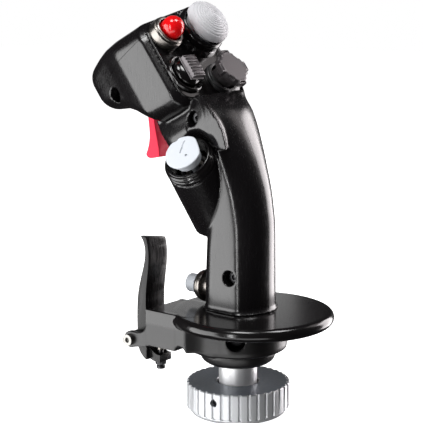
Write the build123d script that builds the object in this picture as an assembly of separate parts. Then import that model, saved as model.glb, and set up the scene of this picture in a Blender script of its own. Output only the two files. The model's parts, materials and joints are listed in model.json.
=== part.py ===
"""Right-hand flight stick grip on a quick-coupling base, in millimetres.

+X is the pilot's right, +Y is forward, +Z is up. The origin is the centre of the coupling nut's lower face.
"""

import os
from math import cos, radians, sin

from build123d import *

# Coupling at the foot
NUT_R = 27.0
NUT_HEIGHT = 16.0
FLUTE_COUNT = 36
FLUTE_R = 1.9
FLUTED_FROM = 4.0
NUT_LIP_R = 20.5
THREAD_R = 17.0
THREAD_LENGTH = 8.0
NUT_ROOF = 12.0
NECK_R = 10.0
NECK_BORE_R = 6.5
INSERT_FACE = 12.4
NECK_TOP = 58.8
KEY_ANGLE = -34.5
FLANGE_R = 16.4
FLANGE_TOP = 10.2
RUN_GAP = 0.06

# Base casting: cup, hand rest and paddle bracket
COLLAR_BOTTOM = 26.6
CUP_BOTTOM = 34.0
CUP_R = 25.7
REST_TOP = 55.5
REST_THICKNESS = 6.6
REST_R = 41.8
REST_CENTRE_Y = -9.6
BRACKET_LEFT = -34.0
BRACKET_RIGHT = -5.0
BRACKET_FRONT = 34.0
BRACKET_BOTTOM = 36.5
BRACKET_WALL = 3.0
CLAMP_Z = 43.4
PIVOT_Y = 45.0
PIVOT_Z = 37.5
EAR_R = 4.4

# Paddle lever
PADDLE_X = -21.2
PADDLE_WIDTH = 14.6
PADDLE_TOP = 91.2
PIVOT_R = 1.8
TAIL_Y = 35.0
TAIL_Z = 27.0

# Grip
WALL = 2.6
FOOT = 55.8
PLATE_TILT = 53.0
PLATE_OFFSET = 85.0
PLATE_THICKNESS = 2.5

# Stations up the column: height, rear, rear corner, front, half width
COLUMN = [
    (FOOT, -19.6, -11.2, 16.3, 16.0),
    (80.0, -19.5, -10.4, 16.8, 16.0),
    (100.0, -19.6, -9.0, 19.6, 16.0),
    (118.0, -16.6, -6.2, 26.6, 16.6),
    (135.0, -10.8, -2.6, 35.6, 18.2),
    (150.0, -3.6, 3.0, 46.0, 20.6),
    (166.0, 6.0, 12.0, 50.0, 22.0),
]
COLUMN_CORNER = 6.0
# Outlines of the head, parallel to its plate: height over the plate, left, right, low edge, high edge at
# the left and at the right, corner radius
HEAD = [
    (0.0, -27.2, 31.0, 138.0, 186.0, 200.0, 8.0),
    (-20.0, -26.2, 28.5, 141.0, 190.5, 200.0, 9.0),
    (-32.0, -21.5, 23.0, 153.0, 194.0, 198.0, 12.0),
    (-45.0, -18.8, 20.0, 162.0, 193.6, 194.6, 11.0),
    (-54.0, -14.5, 15.5, 167.2, 190.6, 191.0, 8.5),
    (-59.3, -7.5, 8.5, 173.6, 185.4, 185.4, 4.0),
]
PLATE_FOOT = 138.0
PLATE_OUTLINE = (0.0, -22.4, 28.0, 141.0, 184.5, 197.5, 7.5)
# The top cover parts from the shells on this plane, square to the plate
COVER_SEAM = 179.5
SHOULDER_Y = 15.0
SHOULDER_Z = 161.9
SHOULDER_RISE = 17.0

# Screws that draw the two shells together: Y, Z and the left end of the head
SHELL_SCREWS = [(-6.5, 73.9, -9.5), (14.1, 153.4, -13.0), (66.5, 162.7, -11.0)]
SHELL_SCREW_R = 1.5
SCREW_WAY_R = 3.9
POSTS = [(-6.5, 73.9, 13.5), (14.1, 153.4, 19.0), (66.5, 162.7, 19.0)]

# Thumb pod on the left: the boss leans less than the switch that sits in its mouth
BOSS_AXIS = Vector(-0.574, 0, 0.819)
POD_AXIS = Vector(-0.76, -0.10, 0.64)
POD_MOUTH = Vector(-22.9, 11.6, 131.7)
POD_R = 13.4
POD_PIVOT = -6.0

# Hat switches on the face plate: place across and up the plate, in the plate's own plane
TRIM_PLACE = (13.1, 178.4)
RIDGED_PLACE = (-12.0, 154.5)
CASTLE_PLACE = (13.4, 150.0)
RELEASE_PLACE = (-12.0, 178.0)
HAT_PIVOT = -5.0
GIMBAL_R = 5.2
STALK_R = 2.0
HOUSING_R = 7.4
RIDGES = 7

# Trigger and front button
TRIGGER_PIVOT_Y = 51.0
TRIGGER_PIVOT_Z = 160.0
TRIGGER_PIN_R = 1.5
TRIGGER_WIDTH = 10.8
FRONT_BUTTON_X = -4.0
FRONT_BUTTON_Z = 65.0
BEZEL_Y = 16.2

X_DIR = (1, 0, 0)
PLATE_NORMAL = Vector(0, -sin(radians(PLATE_TILT)), cos(radians(PLATE_TILT)))
PLATE_UP = Vector(0, cos(radians(PLATE_TILT)), sin(radians(PLATE_TILT)))


def plate_frame(across=0.0, up=0.0):
    """Plane on the face plate's outer surface, with Z out of the grip."""
    origin = PLATE_NORMAL * PLATE_OFFSET + PLATE_UP * up + Vector(across, 0, 0)
    return Plane(origin=origin, x_dir=X_DIR, z_dir=PLATE_NORMAL)


def pod_frame(along=0.0):
    origin = POD_MOUTH + POD_AXIS.normalized() * along
    return Plane(origin=origin, x_dir=(0, 1, 0), z_dir=POD_AXIS)


def disc(radius, low, high, centre=(0, 0)):
    return Pos(centre[0], centre[1], (low + high) / 2) * Cylinder(radius, high - low)


def ring(outer, inner, low, high):
    return disc(outer, low, high) - disc(inner, low - 1, high + 1)


def turned(points):
    """Solid of revolution about Z from an outline in the XZ plane."""
    return revolve(Plane.XZ * make_face(Polyline(*points, close=True)), Axis.Z)


def bar(start, end, radius):
    """Round bar between two points."""
    path = Vector(*end) - Vector(*start)
    return Plane(origin=start, z_dir=path) * Pos(0, 0, path.length / 2) * Cylinder(radius, path.length)


def block(low, high):
    size = [b - a for a, b in zip(low, high)]
    middle = [(a + b) / 2 for a, b in zip(low, high)]
    return Pos(*middle) * Box(*size)


# ---------------------------------------------------------------- coupling


def coupling_nut():
    body = disc(NUT_R, FLUTED_FROM, NUT_HEIGHT) + disc(NUT_LIP_R, 0, FLUTED_FROM)
    body -= disc(THREAD_R, -1, THREAD_LENGTH)
    body -= disc(THREAD_R + 0.8, THREAD_LENGTH, NUT_ROOF)
    body -= disc(NECK_R + 0.9, NUT_ROOF - 1, NUT_HEIGHT + 1)
    flute = disc(FLUTE_R, FLUTED_FROM - 1, NUT_HEIGHT + 1)
    for index in range(FLUTE_COUNT):
        body -= Rot(0, 0, index * 360 / FLUTE_COUNT) * Pos(NUT_R + FLUTE_R - 0.75, 0, 0) * flute
    return body - grub_screw_hole(2.0)


def grub_screw_hole(radius):
    start = (-26.4, -4.9, 11.0)
    return bar(start, (start[0] * 1.3, start[1] * 1.3, start[2]), radius) + bar(
        (start[0] * 0.72, start[1] * 0.72, start[2]), start, radius
    )


def nut_grub_screw():
    outer = (-26.4 * 0.9, -4.9 * 0.9, 11.0)
    inner = (-26.4 * 0.72, -4.9 * 0.72, 11.0)
    return bar(inner, outer, 1.95)


def thrust_washer():
    return ring(15.6, NECK_R + 0.9, FLANGE_TOP + 0.05, NUT_ROOF - 0.05)


def neck_tube():
    tube = disc(FLANGE_R, THREAD_LENGTH + 0.2, FLANGE_TOP) + disc(NECK_R, FLANGE_TOP, NECK_TOP)
    tube -= disc(NECK_BORE_R, THREAD_LENGTH - 1, NECK_TOP + 1)
    return tube - key_slot()


def key_slot():
    return key_frame() * Box(1.3, 2.8, 10.8)


def neck_key():
    return key_frame() * Box(1.3, 2.8, 10.8)


def key_frame():
    return Rot(0, 0, KEY_ANGLE) * Pos(NECK_R - 0.05, 0, 21.0)


def connector_insert():
    insert = disc(NECK_BORE_R, INSERT_FACE, 16.0)
    for x, y in connector_places():
        insert -= disc(0.5, 0, 20, (x, y))
    return insert


def connector_places():
    return [(4.0 * cos(a), 4.0 * sin(a)) for a in (radians(-30 + 60 * k) for k in range(5))]


def connector_pins():
    return Compound(children=[disc(0.5, THREAD_LENGTH + 0.6, 18.0, place) for place in connector_places()])


def neck_lock_nut():
    nut = ring(12.6, NECK_R, REST_TOP, NECK_TOP - 0.3)
    for turn in (0, 90, 180, 270):
        nut -= Rot(0, 0, turn) * Pos(12.8, 0, NECK_TOP - 1) * Box(3, 3, 2)
    return nut


# ---------------------------------------------------------------- base


def lower_collar():
    outline = [(NECK_R, COLLAR_BOTTOM), (16.6, COLLAR_BOTTOM), (18.8, 28.4), (19.9, 31.4), (19.9, CUP_BOTTOM)]
    return turned(outline + [(NECK_R, CUP_BOTTOM)])


def cup():
    rounded = turned(
        [(NECK_R, CUP_BOTTOM), (24.0, CUP_BOTTOM), (25.2, 35.0), (CUP_R, 37.0), (CUP_R, 49.5), (NECK_R, 49.5)]
    )
    return rounded - (disc(CUP_R - 3.4, CUP_BOTTOM + 4, 48.9) - disc(NECK_R + 4, 30, 50))


def hand_rest_disc():
    edge = REST_THICKNESS / 2
    half = Plane.XZ * (
        Pos(REST_R / 2 - edge / 2, REST_TOP - edge) * Rectangle(REST_R - edge, REST_THICKNESS)
        + Pos(REST_R - edge, REST_TOP - edge) * Circle(edge)
    )
    return Pos(0, REST_CENTRE_Y, 0) * revolve(half, Axis.Z)


def bracket():
    plan = Polyline(
        (BRACKET_LEFT, BRACKET_FRONT),
        (BRACKET_LEFT, 7.4),
        (-25.0, -1.0),
        (-4.0, 10.0),
        (BRACKET_RIGHT, BRACKET_FRONT),
        close=True,
    )
    body = extrude(Pos(0, 0, BRACKET_BOTTOM) * make_face(plan), REST_TOP - BRACKET_BOTTOM)
    for left in (BRACKET_LEFT, BRACKET_RIGHT - BRACKET_WALL):
        body += Pos(left, 0, 0) * extrude(Plane.YZ * ear_outline(), BRACKET_WALL)
    return body - bracket_chamber() - scallop()


def ear_outline():
    """Side of a bracket ear, from the front wall out to the paddle's pivot."""
    ear = make_face(
        Polyline((30.0, 50.0), (34.0, 46.0), (37.0, 42.6), (45.0, 41.9), (45.0, 33.1), (30.0, 36.5), close=True)
    )
    return ear + Pos(PIVOT_Y, PIVOT_Z) * Circle(EAR_R)


def bracket_chamber():
    low = (BRACKET_LEFT + BRACKET_WALL, 18.0, BRACKET_BOTTOM - 10)
    return block(low, (BRACKET_RIGHT - BRACKET_WALL, 60.0, REST_TOP - BRACKET_WALL))


def scallop():
    return bar((BRACKET_LEFT - 1, 10.8, 36.4), (BRACKET_LEFT + 8, 10.8, 36.4), 3.2)


def base_casting():
    casting = cup() + hand_rest_disc() + bracket() - bracket_chamber()
    casting -= disc(NECK_R, 30, 60)
    casting -= bar((BRACKET_LEFT - 1, PIVOT_Y, PIVOT_Z), (0, PIVOT_Y, PIVOT_Z), PIVOT_R)
    return casting - cup_screw_hole(4.8) - clamp_screw_way()


def clamp_point(radius):
    """Point on the clamp screw's axis at this distance from the neck's axis."""
    return (-0.814 * radius, -0.581 * radius, CLAMP_Z)


def cup_screw_hole(radius):
    return bar(clamp_point(16.0), clamp_point(34.0), radius)


def clamp_screw_way():
    return bar(clamp_point(NECK_R - 1), clamp_point(17.0), 1.6)


def cup_clamp_screw():
    screw = bar(clamp_point(16.0), clamp_point(20.0), 3.4)
    screw += bar(clamp_point(NECK_R + 0.4), clamp_point(16.0), 1.6)
    return screw - bar(clamp_point(18.2), clamp_point(21.0), 1.5)


# ---------------------------------------------------------------- paddle


def paddle_profile():
    """Side outline of the lever: an S-curved blade above the pivot and a hooked tail below it."""
    front = Spline((44.6, 37.0), (44.6, 52.0), (43.5, 63.0), (41.2, 71.5), (39.1, 79.0), (38.9, 87.0), (41.6, 92.0))
    rear = Spline((38.0, 91.6), (36.2, 82.0), (36.8, 74.0), (38.2, 64.0), (38.6, 58.0), (38.4, 50.0), (39.0, 41.0))
    tail = Spline((39.0, 41.0), (39.4, 35.0), (37.6, 31.6), (35.6, 30.0), (31.6, 29.3))
    under = Spline((31.6, 25.4), (36.4, 25.6), (41.0, 27.8), (44.0, 32.0), (44.6, 37.0))
    return make_face([front, Line((41.6, 92.0), (38.0, 91.6)), rear, tail, Line((31.6, 29.3), (31.6, 25.4)), under])


def paddle_lever():
    half = PADDLE_WIDTH / 2
    blade = Pos(PADDLE_X - half, 0, 0) * extrude(Plane.YZ * paddle_profile(), PADDLE_WIDTH)
    hub = bar((BRACKET_LEFT + 3.3, PIVOT_Y, PIVOT_Z), (BRACKET_RIGHT - 3.3, PIVOT_Y, PIVOT_Z), 3.9)
    narrow = block((PADDLE_X - 20, 20, 15), (PADDLE_X - 4.5, 38.5, 32.0))
    narrow += block((PADDLE_X + 4.5, 20, 15), (PADDLE_X + 20, 38.5, 32.0))
    sloped_top = Pos(PADDLE_X, 40, PADDLE_TOP + 5) * Rot(0, 9, 0) * Box(40, 30, 10)
    lever = blade + hub - narrow - sloped_top
    lever -= bar((-60, PIVOT_Y, PIVOT_Z), (20, PIVOT_Y, PIVOT_Z), PIVOT_R + RUN_GAP)
    return lever - disc(1.5, 10, 34, (PADDLE_X, TAIL_Y))


def adjusting_screw():
    screw = disc(1.5, 20.8, 30.9, (PADDLE_X, TAIL_Y))
    return screw + disc(2.3, 20.8, 22.4, (PADDLE_X, TAIL_Y))


def adjusting_nut():
    nut = extrude(Pos(PADDLE_X, TAIL_Y, 23.2) * RegularPolygon(3.0, 6), 2.0)
    return nut - disc(1.5, 20, 26, (PADDLE_X, TAIL_Y))


def pivot_screw():
    """Socket-head screw that the lever turns on."""
    head_end = BRACKET_LEFT - 2.2
    screw = bar((head_end, PIVOT_Y, PIVOT_Z), (BRACKET_LEFT, PIVOT_Y, PIVOT_Z), 3.0)
    screw += bar((BRACKET_LEFT, PIVOT_Y, PIVOT_Z), (BRACKET_RIGHT + 3.2, PIVOT_Y, PIVOT_Z), PIVOT_R)
    socket = Plane(origin=(head_end - 0.1, PIVOT_Y, PIVOT_Z), x_dir=(0, 1, 0), z_dir=(1, 0, 0)) * RegularPolygon(1.5, 6)
    return screw - extrude(socket, 1.6)


def pivot_nut():
    plane = Plane(origin=(BRACKET_RIGHT, PIVOT_Y, PIVOT_Z), x_dir=(0, 1, 0), z_dir=(1, 0, 0))
    return extrude(plane * (RegularPolygon(3.4, 6) - Circle(PIVOT_R)), 2.6)


def paddle_plunger():
    stud = disc(1.3, 31.2, 39.0, (PADDLE_X, TAIL_Y))
    return stud + disc(2.0, 31.2, 32.4, (PADDLE_X, TAIL_Y))


def paddle_switch():
    body = block((-28.0, 24.0, 35.0), (-14.4, 37.2, 43.0))
    return body - disc(1.3 + RUN_GAP, 34, 41, (PADDLE_X, TAIL_Y))


# ---------------------------------------------------------------- grip shells


def column_station(height, rear, corner, front, half_width, inset):
    side = half_width - inset
    back = corner + inset * 0.4
    nose = front - inset
    radius = COLUMN_CORNER - inset * 0.6
    outline = [
        ThreePointArc((-side, back), (0, rear + inset), (side, back)),
        Line((side, back), (side, nose - radius)),
        RadiusArc((side, nose - radius), (side - radius, nose), -radius),
        Line((side - radius, nose), (radius - side, nose)),
        RadiusArc((radius - side, nose), (-side, nose - radius), -radius),
        Line((-side, nose - radius), (-side, back)),
    ]
    return Pos(0, 0, height) * make_face(outline)


def column(inset=0.0):
    return loft([column_station(*station, inset) for station in COLUMN])


def head_outline(height, left, right, low, high_left, high_right, corner, inset=0.0):
    """Rounded four-sided outline parallel to the plate; its high edge climbs to the right."""
    corners = [
        (left + inset, low + inset),
        (right - inset, low + inset),
        (right - inset, high_right - inset),
        (left + inset, high_left - inset),
    ]
    flat = make_face(Polyline(*corners, close=True))
    return plate_frame() * Pos(0, 0, height) * fillet(flat.vertices(), max(corner - inset, 1.5))


def head(inset=0.0):
    return loft([head_outline(*station, inset) for station in HEAD])


def pod_boss(radius, low):
    """Round boss under the pod's mouth, on the left of the grip only."""
    boss = Plane(origin=POD_MOUTH + BOSS_AXIS * low, x_dir=(0, 1, 0), z_dir=BOSS_AXIS)
    boss = boss * Pos(0, 0, (12 - low) / 2) * Cylinder(radius, 12 - low)
    return boss - pod_frame() * Pos(0, 0, 20) * Box(60, 60, 40) - block((-4, -60, 0), (60, 90, 300))


def pod_well(radius, low, high):
    return pod_frame() * Pos(0, 0, (low + high) / 2) * Cylinder(radius, high - low)


def outside_top(inset=0.0):
    """Space outside the plate's plane and above the sloping shoulder below the plate."""
    outside = plate_frame(0, PLATE_FOOT + 50) * Pos(0, 0, 30 - inset) * Box(120, 100, 60)
    rise = radians(SHOULDER_RISE)
    shoulder = Plane(origin=(0, SHOULDER_Y, SHOULDER_Z), x_dir=X_DIR, z_dir=(0, -sin(rise), cos(rise)))
    return outside + shoulder * Pos(0, -30, 30 - inset) * Box(120, 60, 60)


def grip_outer():
    body = column() - outside_top() + head() + pod_boss(POD_R, -38)
    return body - pod_well(POD_R + 0.8, 0, 30)


def grip_hollow():
    hollow = column(WALL) - outside_top(WALL) + head(WALL) + pod_boss(POD_R - WALL, -34)
    hollow -= pod_well(POD_R + 0.8 + WALL, -WALL, 30)
    hollow += pod_well(8.6, -20, 3)
    plate_hole = extrude(head_outline(*PLATE_OUTLINE), 4, both=True)
    return hollow + plate_hole + block((-13.4, -8, FOOT - 2), (13.4, 12.2, FOOT + 2))


def openings():
    """Holes through the shells for the trigger, the front button and the screwdriver."""
    cuts = block((-6.6, 40.0, 144.0), (6.6, 60.5, 160.5))
    cuts += bar((FRONT_BUTTON_X, 8, FRONT_BUTTON_Z), (FRONT_BUTTON_X, 22, FRONT_BUTTON_Z), 6.1)
    cuts += front_frame() * Pos(0, 0, 4.5) * Box(18, 18, 9)
    for y, z, head_x in SHELL_SCREWS:
        cuts += bar((head_x, y, z), (-40, y, z), SCREW_WAY_R)
        cuts += bar((8, y, z), (-40, y, z), SHELL_SCREW_R)
    return cuts + trigger_bar(8.8, TRIGGER_PIN_R)


def trigger_bar(half, radius):
    """Round bar on the trigger's hinge line, as long on the left as on the right."""
    return bar((-half, TRIGGER_PIVOT_Y, TRIGGER_PIVOT_Z), (half, TRIGGER_PIVOT_Y, TRIGGER_PIVOT_Z), radius)


def posts():
    """Screw posts and trigger pin posts that stand inside the shells."""
    made = [bar((-reach, y, z), (reach, y, z), SCREW_WAY_R + 1.2) for y, z, reach in POSTS]
    return made + [trigger_bar(24, 3.4) - trigger_bar(7.0, 4.0)]


def grip_casing():
    outer = grip_outer()
    casing = outer - grip_hollow()
    for post in posts():
        casing += post & outer
    return casing - openings()


def seam_side(sign):
    """Space above (+1) or below (-1) the top cover's seam."""
    return plate_frame(0, COVER_SEAM + sign * 60) * Box(160, 120, 260)


def face_plate():
    plate = extrude(head_outline(*PLATE_OUTLINE), -PLATE_THICKNESS)
    for place in (TRIM_PLACE, RIDGED_PLACE, CASTLE_PLACE):
        plate -= plate_frame(*place) * Cylinder(4.2, 20)
    return plate - plate_frame(*RELEASE_PLACE) * Cylinder(6.6, 20)


# ---------------------------------------------------------------- switches


def hat_housing():
    """Fixed case under a hat, with its pivot at the local origin."""
    case = disc(HOUSING_R, -8.0, 2.4) - disc(GIMBAL_R + 0.9, -6.6, 3.0)
    return case - bar((-10, 0, 0), (10, 0, 0), 0.8 + RUN_GAP)


def hat_gimbal():
    gimbal = ring(GIMBAL_R, 3.5, -1.3, 1.3)
    gimbal -= bar((0, -10, 0), (0, 10, 0), 0.8 + RUN_GAP)
    for side in (-1, 1):
        gimbal += bar((side * 4.6, 0, 0), (side * 7.2, 0, 0), 0.8)
    return gimbal


def hat_stalk(top):
    stalk = disc(STALK_R, -4.0, top)
    return stalk + bar((0, -4.9, 0), (0, 4.9, 0), 0.8)


def hat_frame(place):
    return plate_frame(*place) * Pos(0, 0, HAT_PIVOT)


def release_collar():
    collar = turned([(6.6, 0), (8.9, 0), (8.9, 4.6), (8.1, 5.2), (8.5, 5.9), (7.9, 6.6), (6.6, 6.6)])
    return plate_frame(*RELEASE_PLACE) * collar


def release_button():
    button = disc(5.8, 0.5, 8.6) + Pos(0, 0, 8.6) * Sphere(5.8)
    button -= disc(5.0, -6, 2.0)
    return plate_frame(*RELEASE_PLACE) * (button + disc(1.9, -9.0, 4.0))


def release_switch():
    case = disc(6.4, -13.0, -2.8) - disc(1.9 + RUN_GAP, -12.0, 0)
    return plate_frame(*RELEASE_PLACE) * case


def trim_skirt():
    outside = [(4.4, 0), (14.6, 0), (13.4, 3.0), (13.5, 6.9), (12.6, 8.2)]
    inside = [(11.6, 8.2), (11.6, 1.4), (4.4, 1.4)]
    return plate_frame(*TRIM_PLACE) * turned(outside + inside)


def trim_hat():
    rise = -HAT_PIVOT
    outline = [(12.3, 10.0), (12.5, 10.8), (12.0, 13.0), (10.0, 15.2), (6.6, 17.0), (2.6, 18.2), (0, 18.4)]
    dome = Pos(0, 0, rise) * turned([(0, 10.0)] + outline)
    return hat_frame(TRIM_PLACE) * (dome + disc(9.8, rise + 4.0, rise + 10.4) + hat_stalk(rise + 6))


def ridged_bezel():
    bezel = turned([(9.0, 0), (11.2, 0), (10.9, 1.6), (9.8, 2.3), (9.0, 2.0)])
    return plate_frame(*RIDGED_PLACE) * bezel


def ridged_dome():
    rise = -HAT_PIVOT
    outline = [(0, 1.4), (8.1, 1.4), (7.8, 3.4), (6.4, 4.8), (4.0, 5.4), (0, 5.4)]
    dome = Pos(0, 0, rise) * turned(outline)
    return hat_frame(RIDGED_PLACE) * (dome + hat_stalk(rise + 3))


def ridged_cap():
    cap = Pos(0, 0, 7.4) * Box(8.6, 12.6, 4.0) + Pos(0, 0, 5.9) * Box(9.6, 13.4, 1.0)
    for index in range(RIDGES - 1):
        cap -= Pos(0, (index - RIDGES / 2 + 1) * 1.75, 9.2) * Box(13, 0.8, 1.6)
    return plate_frame(*RIDGED_PLACE) * cap


def castle_collar():
    return plate_frame(*CASTLE_PLACE) * turned([(7.6, 0), (9.6, 0), (9.2, 3.0), (7.6, 3.0)])


def castle_hat():
    rise = -HAT_PIVOT
    cap = disc(6.0, rise + 1.4, rise + 8.0) + disc(9.2, rise + 7.4, rise + 12.0)
    for turn in range(0, 360, 90):
        cap += Rot(0, 0, turn) * Pos(9.2, 0, rise + 10.2) * Box(2.6, 5.6, 3.6)
        cap -= Rot(0, 0, turn + 45) * Pos(9.6, 0, rise + 11.6) * Box(3.0, 3.6, 2.4)
    return hat_frame(CASTLE_PLACE) * (cap + hat_stalk(rise + 3))


def pod_collar():
    """Stacked rings at the mouth of the thumb pod."""
    outside = [(13.4, 0), (13.5, 1.4), (12.7, 2.0), (13.2, 3.4), (12.2, 4.3), (12.0, 5.4)]
    return pod_frame() * turned([(10.9, 0)] + outside + [(10.9, 5.4)])


def pod_hat():
    """Thumb cap: a round pad with one side cut flat."""
    rise = -POD_PIVOT
    cap = disc(9.8, rise + 6.5, rise + 10.5) - Rot(0, 0, 132) * Pos(0, 10.6, rise + 9) * Box(30, 4, 12)
    cap += disc(7.0, rise + 3.0, rise + 6.6)
    return pod_frame(POD_PIVOT) * (cap + hat_stalk(rise + 4))


def trigger():
    front = Spline((56.6, 156.0), (55.7, 146.0), (55.4, 140.5), (56.4, 135.0), (58.0, 131.2))
    tip = Spline((58.0, 131.2), (57.2, 129.6), (53.0, 129.2), (48.8, 130.2))
    rear = Spline((48.8, 130.2), (49.4, 136.0), (51.2, 144.0), (51.6, 156.0))
    side = make_face([front, tip, rear, Line((51.6, 156.0), (56.6, 156.0))])
    half = TRIGGER_WIDTH / 2
    blade = Pos(-half, 0, 0) * extrude(Plane.YZ * side, TRIGGER_WIDTH)
    hub = trigger_bar(half, 4.0) + block((-half, 51.0, 154.0), (half, 56.0, 160.0))
    switch_arm = block((-2.5, 42.0, 158.6), (2.5, 50.0, 161.4))
    return blade + hub + switch_arm - trigger_bar(20, TRIGGER_PIN_R + RUN_GAP)


def trigger_pin():
    return trigger_bar(8.6, TRIGGER_PIN_R)


def trigger_switch():
    return block((-3.0, 36.0, 164.0), (3.0, 47.0, 170.0)) + bar((0, 44, 164.5), (0, 44, 163.4), 1.0)


def front_frame():
    return Plane(origin=(FRONT_BUTTON_X, BEZEL_Y, FRONT_BUTTON_Z), x_dir=X_DIR, z_dir=(0, 1, 0))


def front_bezel():
    bezel = turned([(5.3, -3.5), (6.0, -3.5), (6.0, 0.1), (8.6, 0.1), (8.4, 2.2), (7.2, 4.6), (5.3, 4.6)])
    return front_frame() * bezel


def front_button():
    return front_frame() * (disc(4.9, -1.0, 12.4) + disc(1.7, -6.5, 0))


def front_switch():
    return front_frame() * (disc(4.6, -12.6, -4.4) - disc(1.7 + RUN_GAP, -11.0, -4.0))


# ---------------------------------------------------------------- insides


def shell_screws():
    screws = []
    for y, z, head_x in SHELL_SCREWS:
        screw = bar((head_x - 2.4, y, z), (head_x, y, z), 2.8) + bar((head_x, y, z), (7.9, y, z), SHELL_SCREW_R)
        screws.append(screw - bar((head_x - 3, y, z), (head_x - 1.2, y, z), 1.2))
    return Compound(children=screws)


def mainboard():
    return block((5.0, -4.0, 82.0), (6.6, 12.0, 138.0))


def mainboard_chips():
    chips = [block((3.6, -1.0, z), (5.0, 9.0, z + 9.0)) for z in (86.0, 102.0, 118.0)]
    return Compound(children=chips)


def wiring_loom():
    route = FilletPolyline(
        (-1, 0, 18.2), (-1, 0, 60.0), (0.5, 1.2, 76.0), (0.5, 6.0, 100.0), (0.5, 15.0, 122.0), radius=20.0
    )
    start = Plane(origin=(-1, 0, 18.2), z_dir=(0, 0, 1))
    return sweep(start * Circle(1.8), path=route)


def main():
    os.makedirs("parts", exist_ok=True)
    casing = grip_casing()
    left_half = block((-80, -80, 0), (0, 160, 260))
    right_half = block((0, -80, 0), (80, 160, 260))
    lower = casing - seam_side(1)
    nodes = {
        "coupling_nut": coupling_nut(),
        "nut_grub_screw": nut_grub_screw(),
        "thrust_washer": thrust_washer(),
        "neck_tube": neck_tube(),
        "neck_key": neck_key(),
        "connector_insert": connector_insert(),
        "connector_pins": connector_pins(),
        "neck_lock_nut": neck_lock_nut(),
        "lower_collar": lower_collar(),
        "base_casting": base_casting(),
        "cup_clamp_screw": cup_clamp_screw(),
        "paddle_lever": paddle_lever(),
        "adjusting_screw": adjusting_screw(),
        "adjusting_nut": adjusting_nut(),
        "pivot_screw": pivot_screw(),
        "pivot_nut": pivot_nut(),
        "paddle_plunger": paddle_plunger(),
        "paddle_switch": paddle_switch(),
        "left_shell": lower & left_half,
        "right_shell": lower & right_half,
        "top_cover": casing & seam_side(1),
        "face_plate": face_plate(),
        "release_collar": release_collar(),
        "release_button": release_button(),
        "release_switch": release_switch(),
        "trim_skirt": trim_skirt(),
        "trim_hat": trim_hat(),
        "ridged_bezel": ridged_bezel(),
        "ridged_dome": ridged_dome(),
        "ridged_cap": ridged_cap(),
        "castle_collar": castle_collar(),
        "castle_hat": castle_hat(),
        "pod_collar": pod_collar(),
        "pod_hat": pod_hat(),
        "trigger": trigger(),
        "trigger_pin": trigger_pin(),
        "trigger_switch": trigger_switch(),
        "front_bezel": front_bezel(),
        "front_button": front_button(),
        "front_switch": front_switch(),
        "shell_screws": shell_screws(),
        "mainboard": mainboard(),
        "mainboard_chips": mainboard_chips(),
        "wiring_loom": wiring_loom(),
    }
    hats = {
        "trim": hat_frame(TRIM_PLACE),
        "ridged": hat_frame(RIDGED_PLACE),
        "castle": hat_frame(CASTLE_PLACE),
        "pod": pod_frame(POD_PIVOT),
    }
    for name, frame in hats.items():
        nodes[name + "_housing"] = frame * hat_housing()
        nodes[name + "_gimbal"] = frame * hat_gimbal()
    for name, solid in nodes.items():
        export_step(solid, f"parts/{name}.step")


if __name__ == "__main__":
    main()
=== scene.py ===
"""Flight joystick grip: the looks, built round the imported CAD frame.

Shapes are worked out in millimetres. Lights and the camera are placed in metres.
"""

import json
from math import cos, hypot, pi, radians, sin, sqrt

import bmesh
import bpy
import numpy as np
from mathutils import Matrix, Vector


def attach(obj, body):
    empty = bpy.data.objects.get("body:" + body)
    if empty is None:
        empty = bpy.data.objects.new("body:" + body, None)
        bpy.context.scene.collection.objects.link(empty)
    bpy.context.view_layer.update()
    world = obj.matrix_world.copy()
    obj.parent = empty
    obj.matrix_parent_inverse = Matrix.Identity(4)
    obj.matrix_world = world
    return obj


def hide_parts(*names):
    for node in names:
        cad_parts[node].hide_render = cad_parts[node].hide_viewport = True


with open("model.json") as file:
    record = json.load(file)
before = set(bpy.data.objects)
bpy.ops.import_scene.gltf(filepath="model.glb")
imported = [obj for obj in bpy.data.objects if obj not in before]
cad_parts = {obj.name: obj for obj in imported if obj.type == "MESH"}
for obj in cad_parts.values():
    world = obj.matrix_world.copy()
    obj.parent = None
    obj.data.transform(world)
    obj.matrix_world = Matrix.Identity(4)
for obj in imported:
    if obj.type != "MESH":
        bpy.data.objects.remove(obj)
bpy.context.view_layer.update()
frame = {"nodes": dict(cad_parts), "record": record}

MM = 0.001
BODIES = {node: body for body, nodes in frame["record"]["behaviour"]["bodies"].items() for node in nodes}

# ---------------------------------------------------------------- driving sizes, in millimetres

PLATE_TILT = radians(53.0)
PLATE_OFFSET = 85.0
NORMAL_Y, NORMAL_Z = -sin(PLATE_TILT), cos(PLATE_TILT)
UP_Y, UP_Z = cos(PLATE_TILT), sin(PLATE_TILT)
FOOT = 55.8
WALL = 2.6
CELL = 0.65
COVER_SEAM = 179.5
SEAM_GAP = 0.12

# ---------------------------------------------------------------- smooth fields


def smooth_min(a, b, reach):
    share = np.clip(0.5 + 0.5 * (b - a) / reach, 0.0, 1.0)
    return b + (a - b) * share - reach * share * (1.0 - share)


def smooth_max(a, b, reach):
    return -smooth_min(-a, -b, reach)


def round_max(a, b, radius):
    """Overlap of two half-spaces whose meeting edge is rounded to this radius."""
    outside = np.hypot(np.maximum(a + radius, 0.0), np.maximum(b + radius, 0.0))
    return np.minimum(np.maximum(a, b), -radius) + outside


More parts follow.
